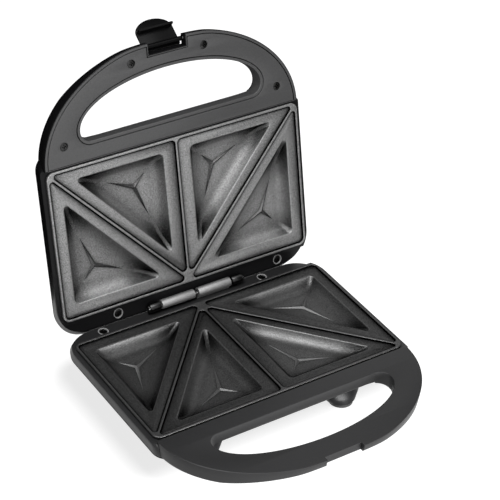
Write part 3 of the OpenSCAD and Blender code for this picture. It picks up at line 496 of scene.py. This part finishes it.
def bandParts(screwsAt, knuckles):
    # band with a rounded top and bottom edge, the plate's opening and the shelf behind it, which has
    # a well with a raised lip for each screw and a slot for each hinge web
    shelf = body["shelf"]
    top = np.repeat([body["ledge"], shelf, body["ledge"]], sidePoints)
    rows = [level(bandLine(body["ledge"], inset), top + drop) for inset, drop in body["topEdge"]]
    rows += [level(bandLine(z), z) for z in body["sides"]]
    rows += [level(bandLine(z, inset), z) for inset, z in body["lowEdge"]]
    opening = [level(plateLine(body["opening"]), z) for z in (body["ledge"], body["bottom"])]
    right, behind, left = np.split(rows[0], 3)
    wells = [roundHole(x, y, boss["well"]) for x, y in screwsAt]
    lips = [roundHole(x, y, boss["lip"]) for x, y in screwsAt]
    slots = []
    for a, b in knuckles:
        a, b, half = a - webSlot["beside"], b + webSlot["beside"], webSlot["half"]
        line = np.array([[a, hingeY - half], [b, hingeY - half], [b, hingeY + half], [a, hingeY + half]])
        slots.append([level(line, z) for z in (shelf, webSlot["floor"])])
    parts = [rings(rows), rings(opening), cap(np.concatenate([right, left]), [opening[0]]),
             cap(behind, [hole[0] for hole in wells + slots]), cap(rows[-1], [opening[1]]),
             (np.array([right[-1], behind[0], behind[-1], left[0]]), [[0, 1, 2, 3]])]
    for slot in slots:
        parts += sunk(slot)
    for well, lip in zip(wells, lips):
        # the lip takes the frame's second finish, a painted highlight
        parts += [rings(well), (*rings(lip), 1), cap(lip[-1])]
    return parts


def smoothRows(table, count):
    # Catmull-Rom curve through the rows, evenly by row number
    t = np.linspace(0, len(table) - 1, count)
    i = np.clip(t.astype(int), 0, len(table) - 2)
    u = (t - i)[:, None]
    p0, p1 = table[np.maximum(i - 1, 0)], table[i]
    p2, p3 = table[i + 1], table[np.minimum(i + 2, len(table) - 1)]
    return 0.5 * (2 * p1 + (p2 - p0) * u + (2 * p0 - 5 * p1 + 4 * p2 - p3) * u ** 2
                  + (3 * p1 - p0 - 3 * p2 + p3) * u ** 3)


def coverParts(lensesAt=()):
    # shallow dome through the smoothed rows, with a stepped well for each lens
    rows = [level(bodyLine(domeRows[0], inset), z) for inset, z in cover["seamEdge"]]
    for row in smoothRows(domeRows, cover["rows"]):
        rows.append(level(bodyLine(row, 0), min(row[0], cover["seam"])))
    rows.append(level(bodyLine(domeRows[-1], cover["topInset"]), cover["top"]))
    wells = [roundHole(x, y, cover["lensWell"]) for x, y in lensesAt]
    parts = [rings(rows), cap(rows[0]), cap(rows[-1], [well[0] for well in wells])]
    for well in wells:
        parts += sunk(well)
    return parts


# rows of half width, half depth, shift towards the cover's middle (a share of lean) and height
leg = dict(places=[(61, -108, 6), (-61, -108, 6), (61, 0, -6), (-61, 0, -6)], around=40,
           rows=[(11.0, 9.2, 0, -39.5), (11.8, 9.8, 0, -39.0), (14.2, 10.2, 0.2, -36.2),
                 (16.3, 10.5, 0.4, -34.0), (16.5, 10.5, 1.0, -29.0)])


def legParts(x, y, lean):
    # oval leg that widens and leans upwards into the cover
    t = np.linspace(0, 2 * math.pi, leg["around"], endpoint=False)
    return closed([level(np.column_stack([x + w * np.cos(t), y + shift * lean + d * np.sin(t)]), z)
                   for w, d, shift, z in leg["rows"]])


# the knuckles of each half are (left end, right end) along the pin
hinge = dict(radius=3.6, pin=1.5, play=0.08, leaf=1.2, leafReach=12, leafTop=-7.2, webFoot=-7.6, webGap=0.6,
             edge=0.15, around=56, base=[(-37.4, -28.4), (5.6, 34.6)], lid=[(-27.0, 2.0), (36.0, 45.0)])
shelfScrews = dict(base=[(-78, 8), (64, 8)], lid=[(-61, 8), (83, 8)])
lensPlaces = [(-11, -80), (11, -80)]
# each frame's second finish paints a highlight on the lips round its screw wells
piece("baseFrame", bandParts(shelfScrews["base"], hinge["base"]), inBase, "base", [blackShell, lipPaintedHighlight],
      "base_housing")
# the lid's frame takes the black shell painted darker: painted shade
piece("lidFrame", bandParts(shelfScrews["lid"], hinge["lid"]), inLid, "lid", [shellPaintedShade, lipPaintedHighlight],
      "lid_housing")
legs = [part for place in leg["places"] for part in legParts(*place)]
# both covers take the black shell painted darker: painted shade
piece("baseCover", coverParts() + legs, inBase, "base", shellPaintedShade, "base_bottom_cover")
piece("lidCover", coverParts(lensPlaces), inLid, "lid", shellPaintedShade, "lid_cover")
print("housings made")


# seam is the line where the handle meets the body; trim is what the wide tip arc takes off its reach,
# and blend is the square of the distance over which that arc meets the oval
handle = dict(half=108.5, reach=77.5, seam=-119.5, trim=2.4, tipArc=420.0, blend=1, side=12.5, nose=6.3,
              arch=584.0, bar=14.2, barDrop=8.8, barBeside=1, barAhead=0.4, noseWidth=21.5, ends=31.5,
              around=161, along=23)
gripPoints = dict(front=121, corner=15, straight=19)
gripCorner = 8.5
tipY = handle["seam"] - handle["reach"] + handle["trim"]
gripRear = handle["seam"] - handle["bar"]
gripY = gripRear - gripCorner
gripHalf = handle["half"] - handle["ends"]
gripReach = gripY - tipY - handle["noseWidth"]
underGrid = dict(x=(-106, 107), y=(-196, -119), pitch=4.0, weld=1e-5)
notch = dict(half=15.6, lidInner=-185.1, baseInner=-190.3, spare=2.5, tipOnly=-150, upright=0.7)
panel = dict(rim=3.0, besideNotch=1.8, spare=6, gap=0.45, mouth=0.25, back=-120.3, squareFrom=-124,
             recess=-2.7, edge=((0.35, -0.02), (0.1, -0.1), (0, -0.35), (0, -2.6)),
             well=((3.5, -0.02), (3.3, -0.08), (3.2, -0.27), (3.2, -2.2)),
             tipScrew=(0.282, 12.6), sideScrew=(0.84, -15.3))  # share of the half width, y past tip or seam
panelScrews = [(s * handle["half"] * k, start + y) for s in (1, -1)
               for start, (k, y) in ((tipY, panel["tipScrew"]), (handle["seam"], panel["sideScrew"]))]


def handleLine(inset):
    # half oval whose tip is flattened by a wide arc, closed along the body seam
    t = np.radians(np.linspace(180, 360, handle["around"]))
    x = (handle["half"] - inset) * np.cos(t)
    oval = handle["seam"] + (handle["reach"] - inset) * np.sin(t)
    tip = tipY + inset + x ** 2 / (2 * handle["tipArc"])
    y = (oval + tip + np.sqrt((oval - tip) ** 2 + handle["blend"])) / 2
    back = np.linspace(x[-1], x[0], handle["along"] + 2)[1:-1]
    seam = handle["seam"] - inset
    return np.concatenate([np.column_stack([x, np.minimum(y, seam)]),
                           np.column_stack([back, np.full(handle["along"], seam)])])


def notched(line, half, inner, keep):
    # cuts a square notch into the handle's tip; keep fixes which outline points give way to it
    base = handleLine(0)
    gone = (np.abs(base[:, 0]) < keep) & (base[:, 1] < notch["tipOnly"])
    first, last = int(np.argmax(gone)), len(gone) - int(np.argmax(gone[::-1]))
    front = line[:handle["around"]]
    front = front[front[:, 0].argsort()]
    corner = float(np.interp(half, front[:, 0], front[:, 1]))
    cut = np.array([[-half, corner], [-half, inner], [half, inner], [half, corner]])
    return np.concatenate([line[:first], cut, line[last:]])


def notchedHandle(inner):
    # the handle's outline with the latch's notch, which widens with the rounded edge only
    def line(inset):
        grow = max(inset, 0) if inset < notch["upright"] else 0
        return notched(handleLine(inset), notch["half"] + grow, inner + grow, notch["half"] + notch["spare"])
    return line


def gripLine(grow):
    # the D opening: an oval front with rounded rear corners
    front = np.radians(np.linspace(180, 360, gripPoints["front"]))
    x, r = gripHalf - gripCorner, gripCorner + grow
    straight = np.linspace(x, -x, gripPoints["straight"] + 2)[1:-1]
    return np.concatenate([
        np.column_stack([(gripHalf + grow) * np.cos(front), gripY + (gripReach + grow) * np.sin(front)]),
        arc(x, gripY, r, 0, 90, gripPoints["corner"])[1:],
        np.column_stack([straight, np.full(len(straight), gripY + r)]),
        arc(-x, gripY, r, 90, 180, gripPoints["corner"])[:-1]])


def handleUnder(line):
    # outer face of the handle: an arch towards the tip, one level for the bar behind the opening
    x, y = line[:, 0], line[:, 1]
    bow = -handle["nose"] - handle["arch"] + np.sqrt(handle["arch"] ** 2 - x ** 2)
    bar = (np.abs(x) < gripHalf + handle["barBeside"]) & (y > gripRear - handle["barAhead"])
    return np.where(bar, -handle["barDrop"], np.maximum(-handle["side"], bow))


def share(k, add=0.0):
    # a height rule: the share k of the handle's depth at each point, raised by add
    return lambda line: handleUnder(line) * k + add


def enclosed(line, spots):
    # which spots lie within a closed line: each has an odd number of its edges to the right
    a, b = line[:, :2], np.roll(line[:, :2], -1, axis=0)
    x, y = spots[:, :1], spots[:, 1:2]
    rise = np.where(b[:, 1] == a[:, 1], 1.0, b[:, 1] - a[:, 1])
    at = a[:, 0] + (y - a[:, 1]) * (b[:, 0] - a[:, 0]) / rise
    return ((((a[:, 1] > y) != (b[:, 1] > y)) & (x < at)).sum(axis=1) % 2) == 1


def underCap(outline, hole):
    # closes the handle's outer face with triangles through a square grid that follows the arch
    xs, ys = np.meshgrid(*[np.arange(*underGrid[k], underGrid["pitch"]) for k in ("x", "y")])
    spots = np.column_stack([xs.ravel(), ys.ravel()])
    spots = spots[enclosed(outline, spots) & ~enclosed(hole, spots)]
    points = np.concatenate([outline[:, :2], hole[:, :2], spots])
    around, inside = np.arange(len(outline)), np.arange(len(hole)) + len(outline)
    edges = np.concatenate([np.column_stack([k, np.roll(k, -1)]) for k in (around, inside)])
    made = delaunay_2d_cdt(points.tolist(), edges.tolist(), [], 1, underGrid["weld"])
    flat, tris = np.array(made[0]), np.array(made[2])
    middle = flat[tris].mean(axis=1)
    tris = tris[enclosed(outline, middle) & ~enclosed(hole, middle)]
    return level(flat, handleUnder(flat)), tris.tolist()


outerEdge = [(0.6, 0), (0.3, -0.07), (0.08, -0.26), (0, -0.6), (0.5, share(0.5)), (1.0, share(0.86)),
             (1.15, share(1, 0.5)), (1.35, share(1, 0.14)), (1.9, share(1))]
gripEdge = [(0.6, 0), (0.3, -0.07), (0.08, -0.26), (0, -0.6), (-0.2, share(0.5)), (-0.4, share(0.86)),
            (-0.3, share(1, 0.5)), (-0.1, share(1, 0.14)), (0.4, share(1))]


def panelLine(inset):
    # the panel's edge: the handle's outline set in by the rim, but square to the seam at the rear
    line = handleLine(panel["rim"] + inset)
    squared = np.minimum(line[:, 1] + panel["rim"] + inset, panel["back"] - inset)
    line[:, 1] = np.where(line[:, 1] > panel["squareFrom"], squared, line[:, 1])
    wider = panel["besideNotch"] + inset
    return notched(line, notch["half"] + wider, notch["lidInner"] + wider, notch["half"] + panel["spare"])


def panelGrip(inset):
    # the panel's inner edge: the opening grown by the rim
    return gripLine(panel["rim"] + inset)


def baseHandleParts():
    # a plate with a flat upper face, rounded edges and the arched face below, open at the grip
    outer = loopsAlong(notchedHandle(notch["baseInner"]), outerEdge)
    grip = loopsAlong(gripLine, gripEdge)
    return [rings(outer), rings(grip), cap(outer[0], [grip[0]]), underCap(outer[-1], grip[-1])]


def lidHandleParts():
    # as the base's, with a recess for the panel between the two rims
    outer = loopsAlong(notchedHandle(notch["lidInner"]), outerEdge)
    grip = loopsAlong(gripLine, gripEdge)
    gap, mouth = panel["gap"], panel["mouth"]
    wall = [(-gap - mouth, 0), (-gap, -mouth), (-gap, panel["recess"])]
    recess, inner = loopsAlong(panelLine, wall), loopsAlong(panelGrip, wall)
    return [rings(outer), (*rings(grip), 1), rings(recess), rings(inner), (*cap(outer[0], [recess[0]]), 1),
            (*cap(inner[0], [grip[0]]), 1), cap(recess[-1], [inner[-1]]), underCap(outer[-1], grip[-1])]


def panelParts():
    # the flat panel with eased edges and a well for each screw
    outer, inner = loopsAlong(panelLine, panel["edge"]), loopsAlong(panelGrip, panel["edge"])
    wells = [roundHole(x, y, panel["well"]) for x, y in panelScrews]
    parts = [rings(outer), rings(inner), cap(outer[0], [inner[0]] + [well[0] for well in wells]),
             cap(outer[-1], [inner[-1]])]
    for well in wells:
        parts += sunk(well)
    return parts


piece("baseHandle", baseHandleParts(), inBase, "base", blackShell, "base_housing")
# the lid's handle takes the black shell painted darker: painted shade
piece("lidHandle", lidHandleParts(), inLid, "lid", [shellPaintedShade, satinPanel], "lid_housing")
piece("lidHandlePanel", panelParts(), inLid, "lid", satinPanel, "lid_handle_panel")
print("handles made")


easedEdge = [(0.35, 0), (0.1, 0.1), (0, 0.35)]  # (in, down) round the rims of turned steel
screw = dict(radius=3.0, height=1.4, shank=1.4, down=2.6, arm=0.58, slotHalf=0.45, slotTaper=0.78,
             slotDeep=0.85, onPanel=-0.4, onShelf=-4.8)


def screwHead(x, y, top):
    # flat head with a small chamfer, a cross recess that narrows downwards and a short shank
    r, low = screw["radius"], top - screw["height"]
    arm, half = r * screw["arm"], screw["slotHalf"]
    cross = np.array([(arm, -half), (arm, half), (half, half), (half, arm), (-half, arm), (-half, half),
                      (-arm, half), (-arm, -half), (-half, -half), (-half, -arm), (half, -arm),
                      (half, -half)])
    rim = [(r - inset, top - drop) for inset, drop in easedEdge]
    shank = [(screw["shank"], low), (screw["shank"], low - screw["down"])]
    rows = roundHole(x, y, rim + [(r, low)] + shank)
    recess = [level(cross * k + [x, y], z)
              for k, z in ((1, top), (screw["slotTaper"], top - screw["slotDeep"]))]
    return [rings(rows), cap(rows[0], [recess[0]]), *sunk(recess), cap(rows[-1])]


def screws(name, spots, top, place, body, node):
    # one head at each spot, all at one height, as one piece
    parts = [part for x, y in spots for part in screwHead(x, y, top)]
    piece(name, parts, place, body, darkSteelAndShade, node)


screws("lidPanelScrews", panelScrews, screw["onPanel"], inLid, "lid", "lid_panel_screws")
screws("baseShelfScrews", shelfScrews["base"], screw["onShelf"], inBase, "base", "base_shelf_screws")
screws("lidShelfScrews", shelfScrews["lid"], screw["onShelf"], inLid, "lid", "lid_shelf_screws")


def barrel(a, b):
    # rolled barrel about the pin, from a to b along it, with the upright web that carries it
    r, bore, half = hinge["radius"], hinge["pin"] + hinge["play"], hinge["leaf"] / 2
    left = [(r - inset, a + along) for inset, along in easedEdge]
    right = [(r - inset, b - along) for inset, along in easedEdge[::-1]]
    v, f = spun([(bore, a)] + left + right + [(bore, b), (bore, a)], hinge["around"])
    web = block(a, b, hingeY - half, hingeY + half, hinge["webFoot"], hingeZ - bore - hinge["webGap"],
                hinge["edge"])
    return [(v + [0, hingeY, hingeZ], f)] + web


def leaf(knuckles):
    # the plate under the shelf that both webs of a half rise from
    thick, top = hinge["leaf"], hinge["leafTop"]
    return block(knuckles[0][0], knuckles[1][1], hingeY - hinge["leafReach"], hingeY + thick / 2,
                 top - thick, top, hinge["edge"])


# the long knuckle of each half is its bright barrel, the short one stays dark
for half, place, long, short in (("base", inBase, 1, 0), ("lid", inLid, 0, 1)):
    knuckles, node = hinge[half], half + "_hinge_bracket"
    piece(half + "HingeBarrel", barrel(*knuckles[long]), place, half, hingeSteel, node)
    piece(half + "HingeEnd", barrel(*knuckles[short]) + leaf(knuckles), place, half, darkSteelAndShade, node)


# drawn hooked: z runs down the tab, y from its inner to its outer face
latch = dict(half=15.2, top=2.0, end=-22.4, corner=9.5, topCorner=1.2, inner=-4.0, outer=-5.8, bore=1.06,
             barrel=1.8, barrelHalf=15.4, barrelEase=0.3, armFront=-1.1, armLow=-1.8, armHigh=0.0,
             armEdge=0.15, hookHalf=14.2, hookTop=-12.8, hookLow=-14.6, hookIn=4.8, hookEdge=0.25,
             overlap=0.2, endPoints=33, cornerPoints=6, around=40,
             outerEdge=((0.45, 0), (0.15, 0.12), (0, 0.45)), innerEdge=((0, 0.3), (0.1, 0.08), (0.3, 0)))


def tabLine(inset):
    # the tab's face: a half oval at the hooked end, small corners at the barrel
    x, r, c = latch["half"] - inset, latch["corner"] - inset, latch["topCorner"] - inset
    t = np.radians(np.linspace(180, 360, latch["endPoints"]))
    tongue = np.column_stack([x * np.cos(t), latch["end"] + latch["corner"] + r * np.sin(t)])
    up, count = latch["top"] - latch["topCorner"], latch["cornerPoints"]
    return np.concatenate([tongue, arc(x - c, up, c, 0, 90, count), arc(c - x, up, c, 90, 180, count)])


def latchParts():
    # tab with rounded edges, the barrel on its pin, the arm between them and the hook
    inner, outer, b, r, bore = (latch[k] for k in ("inner", "outer", "barrelHalf", "barrel", "bore"))
    ease = latch["barrelEase"]
    rows = [(inset, outer + deep) for inset, deep in latch["outerEdge"]]
    rows += [(inset, inner - deep) for inset, deep in latch["innerEdge"]]
    upright = [0, 2, 1]
    loops = [loop[:, upright] for loop in loopsAlong(tabLine, rows)]
    ends = [cap(loop[:, upright]) for loop in (loops[0], loops[-1])]
    tab = [rings(loops)] + [(v[:, upright], f) for v, f in ends]
    spin = spun([(bore, -b), (r - ease, -b), (r, -b + ease), (r, b - ease), (r - ease, b), (bore, b),
                 (bore, -b)], latch["around"])
    foot = inner - latch["overlap"]
    arm = block(-b, b, foot, latch["armFront"], latch["armLow"], latch["armHigh"], latch["armEdge"])
    hook = block(-latch["hookHalf"], latch["hookHalf"], foot, inner + latch["hookIn"], latch["hookLow"],
                 latch["hookTop"], latch["hookEdge"])
    return tab + [spin] + arm + hook


piece("latchTab", latchParts(), inLatch, "latch", latchPaintedShade, "latch")
print("hardware made")


cadFinish = dict(
    base_handle_covers=satinPanel, rubber_feet=footRubber, cord_inlet_bush=footRubber,
    terminal_block=paleMoulding, thermostat=paleMoulding, thermal_fuse=paleMoulding,
    # the hinge pin takes the dark steel so the gap between the barrels reads dark: painted shade
    power_lens=redLens, ready_lens=greenLens, indicator_lamps=paleMoulding, hinge_pin=darkSteelAndShade,
    base_hinge_screws=screwSteel, lid_hinge_screws=screwSteel, base_handle_screws=screwSteel,
    bottom_cover_screws=screwSteel, lid_cover_screws=screwSteel)
for node, obj in frame["nodes"].items():
    obj.data.materials.clear()
    obj.data.materials.append(cadFinish.get(node, hingeSteel))
print("solids finished")


stage = dict(floorSpan=6.0, floorGrey=0.45, floorGlow=0.78, worldLight=0.06)
# upright cards that the black plastic and the coating mirror, as their corners in metres
cards = dict(left=[(-0.2, -1.2, 0), (-0.2, 0.9, 0), (-0.2, 0.9, 0.3), (-0.2, -1.2, 0.3)],
             front=[(0.25, -0.32, 0), (0.25, 0, 0), (0.25, 0, 0.45), (0.25, -0.32, 0.45)],
             rear=[(-0.7, 0.16, 0), (0.13, 0.16, 0), (0.13, 0.16, 0.9), (-0.7, 0.16, 0.9)])
# each lamp stands far metres from aim, in the direction toward, and lights one group
aim = np.array([0.0, 0.0, 0.1])
lamps = dict(
    lidKey=dict(toward=(-0.52, -0.74, 0.42), far=1.0, size=(0.7, 0.7), power=6.5, lights="lid"),
    lidTop=dict(toward=(0.05, -0.25, 0.97), far=1.0, size=(0.6, 0.6), power=6, lights="lid"),
    baseTop=dict(toward=(-0.43, -0.19, 0.88), far=1.1, size=(0.5, 0.5), power=14, lights="base"),
    baseKey=dict(toward=(0.15, -0.96, 0.1), far=1.3, size=(0.7, 0.3), power=30, lights="base"),
    floorLamp=dict(toward=(0.12, -0.45, 0.88), far=2.2, size=(1.3, 1.3), power=60, lights="floor"))
basePieces = ("basePlateCast", "baseFrame", "baseCover", "baseHandle", "baseShelfScrews")
floorShaders = ("basePlateCast", "baseFrame", "baseCover")


def seenBackground(tree):
    # 1 for camera, mirror and see-through rays, 0 for diffuse light
    path = tree.nodes.new("ShaderNodeLightPath")
    last = path.outputs["Is Camera Ray"]
    for ray in ("Is Glossy Ray", "Is Transmission Ray"):
        most = tree.nodes.new("ShaderNodeMath")
        most.operation = "MAXIMUM"
        tree.links.new(last, most.inputs[0])
        tree.links.new(path.outputs[ray], most.inputs[1])
        last = most.outputs["Value"]
    return last


def greyRamp(tree, source, low, high):
    # maps 0..1 to a pair of greys
    mix = tree.nodes.new("ShaderNodeMix")
    mix.data_type = "RGBA"
    mix.inputs["A"].default_value = (low, low, low, 1)
    mix.inputs["B"].default_value = (high, high, high, 1)
    tree.links.new(source, mix.inputs["Factor"])
    return mix.outputs["Result"]


def whiteFloor():
    # pale diffuse floor that keeps the shadow, raised to white by its own glow
    material = bpy.data.materials.new("whiteFloor")
    material.use_nodes = True
    tree = material.node_tree
    shader = tree.nodes["Principled BSDF"]
    grey = stage["floorGrey"]
    shader.inputs["Base Color"].default_value = (grey, grey, grey, 1)
    shader.inputs["Roughness"].default_value = 1.0
    shader.inputs["Specular IOR Level"].default_value = 0.0
    shader.inputs["Emission Strength"].default_value = 1.0
    glow = greyRamp(tree, seenBackground(tree), 0.0, stage["floorGlow"])
    tree.links.new(glow, shader.inputs["Emission Color"])
    return material


def flatSheet(name, corners, material):
    # one quad that belongs to the stage
    mesh = bpy.data.meshes.new(name)
    mesh.from_pydata(corners, [], [[0, 1, 2, 3]])
    sheet = bpy.data.objects.new(name, mesh)
    bpy.context.scene.collection.objects.link(sheet)
    mesh.materials.append(material)
    return sheet


def softLamp(name, spot, size, power):
    # rectangular area lamp that faces aim, with its upper edge level
    data = bpy.data.lights.new(name, "AREA")
    data.shape = "RECTANGLE"
    data.size, data.size_y = size
    data.energy = power
    made = bpy.data.objects.new(name, data)
    bpy.context.scene.collection.objects.link(made)
    back = (spot - aim) / np.linalg.norm(spot - aim)
    right = np.cross([0, 0, 1], back)
    right = right / np.linalg.norm(right)
    turn = Matrix(np.column_stack([right, np.cross(back, right), back]).tolist()).to_4x4()
    turn.translation = spot
    made.matrix_world = turn
    return made


def gathered(name, objects):
    # a collection for light linking, kept out of the scene's own tree
    collection = bpy.data.collections.new(name)
    for obj in objects:
        collection.objects.link(obj)
    return collection


cadObjects = list(frame["nodes"].values())
for name, corners in cards.items():
    card = flatSheet(name + "Card", corners, cardBlack)
    card.visible_camera = card.visible_diffuse = card.visible_transmission = card.visible_shadow = False
span = stage["floorSpan"]
floor = flatSheet("floor", [(-span, -span, 0), (span, -span, 0), (span, span, 0), (-span, span, 0)],
                  whiteFloor())
lit = dict(base=cadObjects + [pieces[name] for name in basePieces],
           lid=cadObjects + [obj for name, obj in pieces.items() if name not in basePieces], floor=[floor])
for name, lamp in lamps.items():
    made = softLamp(name, aim + np.array(lamp["toward"]) * lamp["far"], lamp["size"], lamp["power"])
    made.light_linking.receiver_collection = gathered(name + "Receivers", lit[lamp["lights"]])
    if lamp["lights"] == "floor":
        shading = [pieces[name] for name in floorShaders]
        made.light_linking.blocker_collection = gathered("floorBlockers", shading)

world = bpy.data.worlds.new("surroundings")
bpy.context.scene.world = world
world.use_nodes = True
sky = greyRamp(world.node_tree, seenBackground(world.node_tree), stage["worldLight"], 1.0)
world.node_tree.links.new(sky, world.node_tree.nodes["Background"].inputs["Color"])

# the columns of turn are the camera's right, up and back; spot is from the plate's rear edge and rim, in m
view = dict(focalPixels=1869.824, framePixels=500, sensor=36.0, clip=0.05, spot=(-0.63360, -0.93188, 0.86865),
            turn=[[0.833773, 0.278807, -0.476538], [-0.548205, 0.520503, -0.654636],
                  [0.065522, 0.807059, 0.586824]])
cameraData = bpy.data.cameras.new("camera")
camera = bpy.data.objects.new("camera", cameraData)
bpy.context.scene.collection.objects.link(camera)
cameraData.sensor_width = view["sensor"]
cameraData.lens = view["focalPixels"] / view["framePixels"] * view["sensor"]
cameraData.clip_start = view["clip"]
placeCamera = Matrix(view["turn"]).to_4x4()
placeCamera.translation = (np.array(view["spot"]) + np.array([0, rearEdge, rimPlane]) / mmPerMetre).tolist()
camera.matrix_world = placeCamera
bpy.context.scene.camera = camera
bpy.context.scene.view_settings.view_transform = "Standard"

print("stage set")
